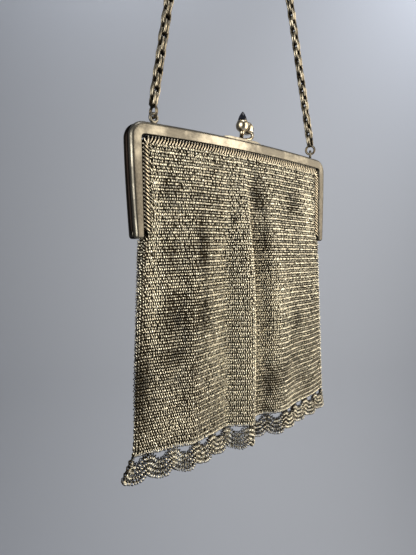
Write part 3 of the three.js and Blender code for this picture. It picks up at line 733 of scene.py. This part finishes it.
def lace_route(side):
    """The lacing's middle line round the inside of a jaw, from the left foot to the right one."""
    half = inner_half - lace_inset
    top = -top_bar_height - lace_inset
    bend = inner_corner + lace_inset / 2
    foot = -arm_height + 3
    points = [(-half, z) for z in np.linspace(foot, top - bend, 20)]
    points += [(-half + bend - bend * math.cos(a), top - bend + bend * math.sin(a))
               for a in np.linspace(0.1, math.pi / 2 - 0.1, 6)]
    points += [(x, top + top_arch * (1 - (x / (half - bend)) ** 2))
               for x in np.linspace(bend - half, half - bend, 60)]
    points += [(half - bend + bend * math.sin(a), top - bend + bend * math.cos(a))
               for a in np.linspace(0.1, math.pi / 2 - 0.1, 6)]
    points += [(half, z) for z in np.linspace(top - bend, foot, 20)]
    return np.array([(x, side * binding_y, z) for x, z in points])


def shadow_rail():
    finish = Finish("rail_painted_shadow")
    # Painted nearly black: it stands for the shade between the turns of the lacing.
    finish.shade(base_color=(0.016, 0.013, 0.01), metallic=1.0, roughness=0.6)
    return finish.material


rail_shadow_finish = shadow_rail()
for label, side in (("front", -1), ("back", 1)):
    route = lace_route(side)
    turns = int(run_along(route)[-1] / lace_pitch)
    centres, along = spaced(route, turns, 0.8)
    depth_way = np.tile([0.0, -side * 1.0, 0.0], (turns, 1))
    inward = unit(np.cross(along, depth_way)) * side
    # The turns slope most on the arms, and on the right arm they are longer and reach further in.
    on_arm = np.abs(along[:, 2:3])
    on_right_arm = on_arm * (centres[:, 0:1] > 0)
    centres = centres + inward * 0.9 * on_right_arm
    slope = 0.36 - 0.2 * centres[:, 0:1] / half_frame * (1 - on_arm) + 0.26 * on_arm
    bar_way = unit(inward * np.cos(slope) - along * np.sin(slope))
    bar_way = unit(bar_way + luck.normal(0, 0.04, (turns, 3)) * [1, 0, 1]) * (1 + 0.4 * on_right_arm)
    bar_side = unit(np.cross(depth_way, bar_way)) * (1 - 0.15 * on_right_arm)
    turn_ring = base_ring((lace_deep - lace_wire) / 2, lace_wire / 2, 10, 5,
                          1 + (lace_long - lace_deep) / (lace_deep - lace_wire))
    lacing = spread_copies(f"lacing_{label}", turn_ring, centres, depth_way, bar_way, bar_side)
    shape = np.array([v.co for v in turn_ring.data.vertices])
    # Each turn is rubbed bright at the front and painted dark as shade where it goes in deep.
    note_wear_and_shade(lacing, np.tile(0.66 - shape[:, 0] / lace_deep * 1.3, (turns, 1)))
    bpy.data.objects.remove(turn_ring)
    rail = stout_wire(f"lacing_rail_{label}", [tuple(p) for p in route[::3]], rail_radius)
    for vertex in rail.data.vertices:
        vertex.co.y = side * (binding_y - rail_sunk) + (vertex.co.y - side * binding_y) * rail_flatness
    for piece, metal in ((lacing, aged_and_shaded_wire), (rail, rail_shadow_finish)):
        place_mesh(piece)
        piece.data.materials.append(metal)
        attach(piece, "root")
    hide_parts(f"binding_{label}")

# Mesh bag. Thousands of fine silver rings are joined in rows, each row leaning the other way from
# the last, so that pairs of rows make a ridge. The bag hangs in soft folds from the lacing, is slit
# at its sides down to the hinges, and is closed along its bottom seam.
bag_bottom, bottom_sag, fold_depth, seam_depth = 129.8, 1.0, 7.0, 2.2
hinge_tuck, bag_flare, back_fold_share, mouth_arch = 0.05, 6.3, 0.3, 0.97
mouth_half = inner_half - binding_width - 2 * clearance
hinge_half = inner_half - hinge_tuck
mouth_down = top_bar_height + binding_width + 2 * clearance
slit_bottom = arm_height - 2.5
fold_rows = np.array([
    (-1, 0), (-0.905, 0.02), (-0.817, 0.2), (-0.709, 0.28), (-0.608, 0.6), (-0.477, 0.38),
    (-0.4, 0.26), (-0.31, 0.08), (-0.228, 0), (-0.164, 0.46), (-0.09, 0.97), (-0.05, 0.95),
    (-0.018, 0.48), (0.02, 0.06), (0.07, 0), (0.148, 0.12), (0.225, 0.6), (0.332, 0.77),
    (0.463, 0.5), (0.586, 0.34), (0.77, 0.29), (0.93, 0.05), (1, 0)])
section_rows = np.array([
    (0, 0, 0, 16), (0.14, 0.3, 0, 16), (0.275, 0.66, 0, 14), (0.315, 0.78, 0, 12),
    (0.45, 1.02, 0, 8), (0.6, 1.08, 0.02, 6), (0.74, 1.05, 0.1, 5), (0.86, 1.02, 0.32, 4),
    (0.94, 1, 0.62, 3.6), (1, 1, 1, 3.5)])


def smooth_table(rows, column, place):
    """Smooth curve through a table: its value in one column at each place in its first."""
    at, value = rows[:, 0], rows[:, column]
    slope = np.empty(len(rows))
    slope[1:-1] = (value[2:] - value[:-2]) / (at[2:] - at[:-2])
    slope[0] = (value[1] - value[0]) / (at[1] - at[0])
    slope[-1] = (value[-1] - value[-2]) / (at[-1] - at[-2])
    i = np.clip(np.searchsorted(at, place) - 1, 0, len(rows) - 2)
    span = at[i + 1] - at[i]
    t = (place - at[i]) / span
    rise = value[i + 1] - value[i]
    return (value[i] + rise * t * t * (3 - 2 * t)
            + span * t * (1 - t) * (slope[i] * (1 - t) - slope[i + 1] * t))


def half_width_at(down):
    height = bag_bottom - mouth_down
    arms = (arm_height - 4 - mouth_down) / height
    hinge = (arm_height + clearance - mouth_down) / height
    widths = [mouth_half, mouth_half, hinge_half, hinge_half + bag_flare]
    return np.interp(down, [0, arms, hinge, 1], widths)


def bag_point(side, at, down, inset=0.0):
    """A point of the bag's surface. at runs across from -1 to 1, and down from the mouth to the seam."""
    grow = smooth_table(section_rows, 1, down)
    close = smooth_table(section_rows, 2, down)
    square = smooth_table(section_rows, 3, down)
    # The edges of the two sheets draw in less at the mouth, where they hang from the lacing.
    half = half_width_at(down) - inset * (0.35 + 0.65 * down)
    rounded = (1 - np.abs(at) ** square) ** (1 / square)
    front = -panel_y - fold_depth * smooth_table(fold_rows, 1, at) * grow
    hanging = panel_y + fold_depth * smooth_table(fold_rows, 1, -at) * grow * back_fold_share
    back = hanging + (front + seam_depth - hanging) * close
    y = front + inset if side < 0 else back - inset
    corner = inner_corner + clearance
    beyond = np.maximum(0, np.abs(at) * mouth_half - mouth_half + corner)
    drop = corner - np.sqrt(np.maximum(corner ** 2 - beyond ** 2, 0))
    top = top_arch * (mouth_arch - at * at) - mouth_down - drop
    bottom = -bag_bottom - bottom_sag * (1 - at * at)
    return np.stack([at * half, y * rounded, top + (bottom - top) * down], axis=-1)


mesh_ring_radius, mesh_ring_wire, mesh_rows, mesh_columns = 0.84, 0.22, 100, 134
ring_inset, ring_lean = 0.92, math.radians(50)
tarnish_and_light_patches = [
    # x, z from the frame's middle, half width, half height, darkness; below 0 is a painted highlight on a
    # fold crest, above 0 partly tarnish and partly painted shade on a fold flank
    (-45, -27, 4, 5, 0.35), (-30, -47, 3, 15, 0.42), (-45, -53, 7, 8, 0.33), (-44, -77, 7, 7, 0.45),
    (-46, -92, 6, 5, 0.4), (-60, -104, 4.5, 14, 0.55), (-31, -78, 4, 6, 0.35), (-22, -28, 7, 10, 0.22),
    (6, -23, 4, 8, 0.5), (8, -44, 6, 6, 0.25), (3, -64, 3.5, 6, 0.3), (14, -113, 6, 7, 0.4),
    (31, -26, 6, 8, 0.32), (33, -85, 5, 7, 0.3), (-51.8, -27, 1.8, 17, -0.45),
    (-7, -94, 9, 46, -0.34), (-5, -85, 4.5, 32, -0.25), (-52, -60, 3, 26, -0.4), (-28, -11, 4, 5, -0.3),
    (46, -23, 2.8, 14, -0.5), (17, -60, 3, 42, -0.22), (15, -72, 6, 10, -0.2), (9, -77, 6, 12, -0.35),
    (9, -101, 6, 9, -0.5), (24, -76, 7, 14, -0.2), (26, -127, 6, 7, -0.45), (-23, -97, 6, 8, -0.25),
    (-46, -122, 10, 6, -0.25), (-21, -84, 5, 24, -0.2), (-14, -118, 9, 8, -0.2)]


def panel_grid(side, rows, columns):
    """Ring centres of one panel, evenly spaced along each row."""
    fine = -np.cos(np.linspace(0, math.pi, 900))
    grid = np.empty((rows, columns, 3))
    for r in range(rows):
        down = (r + 0.5) / rows
        line = bag_point(side, fine, np.full(fine.shape, down), ring_inset)
        # Down to the hinges the two sheets hang apart, so a row ends at its own sheet's edge.
        if line[:, 2].mean() > -slit_bottom:
            line = line[np.abs(line[:, 1]) > panel_y - wall - ring_inset]
        run = run_along(line)
        at = (np.arange(columns) + (0.75 if r % 2 else 0.25)) / columns * run[-1]
        grid[r] = np.stack([np.interp(at, run, line[:, k]) for k in range(3)], axis=1)
    return grid


def soft_field(rows, columns, row_step, column_step):
    """Random values from 0 to 1 that change smoothly, a new one every few rings."""
    coarse = luck.random((rows // row_step + 2, columns // column_step + 2))
    r, c = np.arange(rows) / row_step, np.arange(columns) / column_step
    along_rows = np.array([np.interp(c, np.arange(coarse.shape[1]), line) for line in coarse])
    return np.array([np.interp(r, np.arange(coarse.shape[0]), along_rows[:, k]) for k in range(columns)]).T


def ring_cloth(name, grid, outward_sign, ring_size, parts, jitter, tarnish, ripple):
    """Joined rings on a grid of centres, with attributes for worn tops and ends painted dark as shade,
    single dark rings, and tarnish with painted fold light and shade.
    """
    rows, columns = grid.shape[:2]
    across_way = unit(np.gradient(grid, axis=1))
    down_way = np.gradient(grid, axis=0)
    down_way = unit(down_way - across_way * np.sum(down_way * across_way, axis=-1, keepdims=True))
    outward = np.cross(down_way, across_way) * outward_sign
    grid = grid + outward * ripple[..., None]
    row_sign = np.where(np.arange(rows) % 2, 1.0, -1.0)[:, None, None]
    pitch = np.linalg.norm(np.gradient(grid, axis=1), axis=-1, keepdims=True)
    crowded = np.arccos(np.clip(pitch / (2 * mesh_ring_radius) * 1.02, 0.5, 0.8))
    lean = crowded * row_sign + luck.normal(0, jitter, (rows, columns, 1))
    tip = luck.normal(0.0, jitter, (rows, columns, 1))
    normal = unit(outward * np.cos(lean) + across_way * np.sin(lean) + down_way * tip)
    upright = unit(down_way - normal * np.sum(down_way * normal, axis=-1, keepdims=True))
    level = np.cross(upright, normal)
    ring = base_ring(mesh_ring_radius, mesh_ring_wire, *ring_size)
    shape = np.array([v.co for v in ring.data.vertices])
    tone = 0.6 * luck.random((rows, columns)) + 0.4 * soft_field(rows, columns, 2, 3)
    made = []
    edges = np.linspace(0, rows, parts + 1).astype(int)
    for part in range(parts):
        here = slice(edges[part], edges[part + 1])
        centre, wide, tall, facing, out = [
            a[here].reshape(-1, 3) for a in (grid, level, upright, normal, outward)]
        piece = spread_copies(f"{name}_{part + 1}" if parts > 1 else name, ring, centre, wide, tall, facing)
        rise = (shape[None, :, 0:1] * wide[:, None] + shape[None, :, 1:2] * tall[:, None]
                + shape[None, :, 2:3] * facing[:, None])
        # A ring is rubbed bright where it stands out, and its two ends are painted dark as the shade behind
        # their neighbours.
        height = np.sum(rise * out[:, None], axis=-1) / (mesh_ring_radius * math.sin(ring_lean))
        values = {"worn": 1.1 * height - 1.1 * (shape[None, :, 1] / mesh_ring_radius) ** 2,
                  "tone": np.repeat(tone[here].reshape(-1, 1), len(shape), axis=1),
                  "tarnish": np.repeat(tarnish[here].reshape(-1, 1), len(shape), axis=1)}
        for key, value in values.items():
            attribute = piece.data.attributes.new(key, "FLOAT", "POINT")
            attribute.data.foreach_set("value", value.astype(np.float32).ravel())
        made.append(piece)
    bpy.data.objects.remove(ring)
    return made


def mesh_silver():
    finish = Finish("mesh_silver_tarnished_and_shaded")
    spot = finish.place()
    worn, tone, tarnish = (finish.node("ShaderNodeAttribute", {"attribute_name": key}, out=2)
                           for key in ("worn", "tone", "tarnish"))
    cloud = finish.noise(spot, 120, 4, 0.65)
    # Ring tops are rubbed bright and their ends painted dark as shade, and the patch field adds tarnish,
    # painted shade on fold flanks and painted highlights on fold crests.
    rubbed = finish.between(worn + (tone - 0.5) * 1.1 - tarnish * 1.1, 0.1, 1.1)
    dull_and_shaded = finish.between(tarnish + (cloud - 0.5) * 1.5 + (tone - 0.5) * 1.1, 0.28, 0.62)
    clean = finish.mix(rubbed, (0.035, 0.027, 0.016), (1.0, 0.93, 0.74))
    dark = finish.mix(rubbed, (0.010, 0.009, 0.007), (0.34, 0.32, 0.27))
    finish.shade(base_color=finish.mix(dull_and_shaded, clean, dark), metallic=1.0,
                 roughness=finish.between(rubbed - dull_and_shaded * 0.4, -0.4, 1.0, 0.52, 0.3))
    return finish.material


def bag_panel(name, side, ring_size, parts):
    grid = panel_grid(side, mesh_rows, mesh_columns)
    x, z = grid[..., 0], grid[..., 2]
    # The back sheet is a little darker all over. Dark patches are partly tarnish and partly painted shade
    # on fold flanks, and bright patches are painted highlights on fold crests.
    tarnish = np.zeros(x.shape) if side < 0 else np.full(x.shape, 0.2)
    rubbed = np.zeros(x.shape)
    for patch_x, patch_z, wide, high, strength in tarnish_and_light_patches:
        away = ((x - patch_x) / wide) ** 2 + ((z - patch_z) / high) ** 2
        here = strength * np.exp(-0.8 * away) * (1 if side < 0 else 0.6)
        tarnish = 1 - (1 - tarnish) * (1 - np.maximum(here, 0))
        rubbed += np.minimum(here, 0)
    # Near the mouth the rows are less even, and the sheet's left edge stands out beside the lacing.
    high_up = np.clip(1 - 1.5 * np.arange(mesh_rows)[:, None] / mesh_rows, 0, 1)
    ripple = 0.28 * high_up * (soft_field(mesh_rows, mesh_columns, 5, 4) - 0.5)
    left_edge_bulge = 0.5 * np.exp(-((x + 52.5) / 2.0) ** 2) * np.clip((z + slit_bottom) / 12, 0, 1)
    jitter = 0.17 + 0.2 * high_up[..., None]
    return ring_cloth(name, grid, -side, ring_size, parts, jitter, tarnish + rubbed,
                      ripple + left_edge_bulge)


ring_metal = mesh_silver()
bag_pieces = bag_panel("bag_front", -1, (6, 3), 3) + bag_panel("bag_back", 1, (4, 3), 2)
for piece in bag_pieces:
    place_mesh(piece)
    piece.data.materials.append(ring_metal)
    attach(piece, "root")
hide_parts("mesh_bag")

# Inner face of the mesh. Each ring also passes behind its neighbours, and that half of the weave lies
# in shade. It is one thin surface per panel, painted nearly black as that shade and patterned as the
# backs of rings.
inner_inset, inner_thickness = 1.05, 0.12


def shaded_inner_sheet(name, side):
    bpy.ops.object.select_all(action="DESELECT")
    bpy.ops.mesh.primitive_grid_add(x_subdivisions=80, y_subdivisions=40, size=2)
    sheet = bpy.context.object
    sheet.name = name
    flat = np.array([v.co for v in sheet.data.vertices])
    at, down = np.sin(flat[:, 0] * math.pi / 2), (1 - flat[:, 1]) / 2
    places = bag_point(side, at, down, inner_inset)
    for vertex, place in zip(sheet.data.vertices, places):
        vertex.co = place
    bpy.ops.object.mode_set(mode="EDIT")
    bpy.ops.mesh.select_mode(type="FACE")
    bpy.ops.object.mode_set(mode="OBJECT")
    for face in sheet.data.polygons:
        face.select = face.center.z > -slit_bottom and abs(face.center.y) < panel_y - wall - 0.3
    bpy.ops.object.mode_set(mode="EDIT")
    bpy.ops.mesh.delete(type="FACE")
    bpy.ops.mesh.select_all(action="SELECT")
    bpy.ops.mesh.normals_make_consistent(inside=False)
    bpy.ops.mesh.select_all(action="DESELECT")
    bpy.ops.object.mode_set(mode="OBJECT")
    wall_made = sheet.modifiers.new("thickness", "SOLIDIFY")
    wall_made.thickness, wall_made.offset = inner_thickness, 0
    bpy.ops.object.modifier_apply(modifier=wall_made.name)
    bpy.ops.object.shade_smooth()
    return sheet


def shaded_ring_backs():
    finish = Finish("ring_backs_painted_shade")
    uv = finish.node("ShaderNodeUVMap")
    cells = finish.node("ShaderNodeMapping", {}, {"Vector": uv, "Scale": (mesh_columns, mesh_rows, 1)})
    backs = finish.node("ShaderNodeTexVoronoi", {"feature": "DISTANCE_TO_EDGE", "voronoi_dimensions": "2D"},
                        {"Vector": cells, "Scale": 1.4, "Randomness": 0.35})
    row = finish.node("ShaderNodeMath", {"operation": "COSINE"}, {0: finish.axis(cells, "Y") * 2 * math.pi})
    in_pair = finish.between(0 - row, -0.5, 0.8)
    wire = finish.between(backs, 0.08, 0.3, 1, 0.35) * in_pair
    # Painted nearly black as shade, with the backs of the rings a little lighter in each pair of rows.
    finish.shade(base_color=finish.mix(wire, (0.006, 0.005, 0.004), (0.20, 0.17, 0.12)), metallic=1.0,
                 roughness=0.6, normal=finish.bump(wire, 0.5, 0.0003))
    return finish.material


ring_backs_shade = shaded_ring_backs()
for label, side in (("front", -1), ("back", 1)):
    sheet = shaded_inner_sheet(f"bag_inner_shade_{label}", side)
    place_mesh(sheet)
    sheet.data.materials.append(ring_backs_shade)
    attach(sheet, "root")

# Fringe. Below the seam a single layer of the same rings hangs in thirteen scallops, each with an
# open hole at its top, and its rows sag below the holes like small swags.
scallops, fringe_drop, scallop_notch, fringe_flare, ruffle = 13, 12.0, 2.8, 2.6, 1.0
fringe_head, hole_height, first_hole, last_hole = 1.0, 2.6, 0.8, 5.0
seam_row, second_row, hole_share, ring_overhang = 0.25, 1.7, 0.24, 0.9
fringe_columns, fringe_rows, fringe_reach = 13 * scallops, 9, 0.985


def fringe_grid():
    """Ring centres of the fringe. The rows sag in each scallop and leave its hole open."""
    fine = np.linspace(-fringe_reach, fringe_reach, 1200)
    seam = bag_point(-1, fine, np.ones(len(fine)))
    run = run_along(seam)
    scallop = (np.arange(fringe_columns) + 0.5) / fringe_columns * scallops
    hanging = first_hole + (scallop - 0.5) * (run[-1] - first_hole - last_hole) / (scallops - 1)
    held = np.minimum(np.maximum(hanging, 2 * first_hole * scallop),
                      run[-1] - 2 * last_hole * (scallops - scallop))
    at = np.interp(held, run, fine)
    line = bag_point(-1, at, np.ones(fringe_columns))
    part = scallop % 1
    top = second_row + (fringe_head + hole_height - 1.2) * np.exp(-((part - 0.5) / hole_share) ** 4)
    bottom = fringe_drop - ring_overhang - scallop_notch * np.abs(2 * part - 1) ** 2.4
    grid = np.empty((fringe_rows, fringe_columns, 3))
    for r in range(fringe_rows):
        fall = top + (bottom - top) * (r - 1) / (fringe_rows - 2) if r else np.full(top.shape, seam_row)
        share = np.clip(fall / fringe_drop, 0, 1)
        wave = ruffle * share * np.sin(2 * math.pi * scallop)
        spread = share * (hanging - held + fringe_flare * np.abs(at) ** 5 * np.sign(at))
        grid[r, :, 0] = line[:, 0] + spread
        grid[r, :, 1] = line[:, 1] + seam_depth / 2 + wave + luck.normal(0, 0.05, fringe_columns)
        grid[r, :, 2] = line[:, 2] - fall + luck.normal(0, 0.05, fringe_columns)
    return grid


fringe_places = fringe_grid()
fringe_x = fringe_places[..., 0]
# Every other row is darker and the rows between lighter, the left end is darker, and a stretch right of the
# middle is painted dark as shadow.
fringe_tarnish_and_shade = np.where(np.arange(fringe_rows) % 2, 0.45, -0.25)[:, None] + (
    0.2 * (fringe_x < -48) + 0.3 * np.exp(-((fringe_x - 12) / 11) ** 2))
fringe = ring_cloth("fringe_rings", fringe_places, 1, (6, 3), 1, 0.16,
                    fringe_tarnish_and_shade, np.zeros(fringe_places.shape[:2]))[0]
place_mesh(fringe)
fringe.data.materials.append(ring_metal)
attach(fringe, "root")
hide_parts("mesh_fringe")
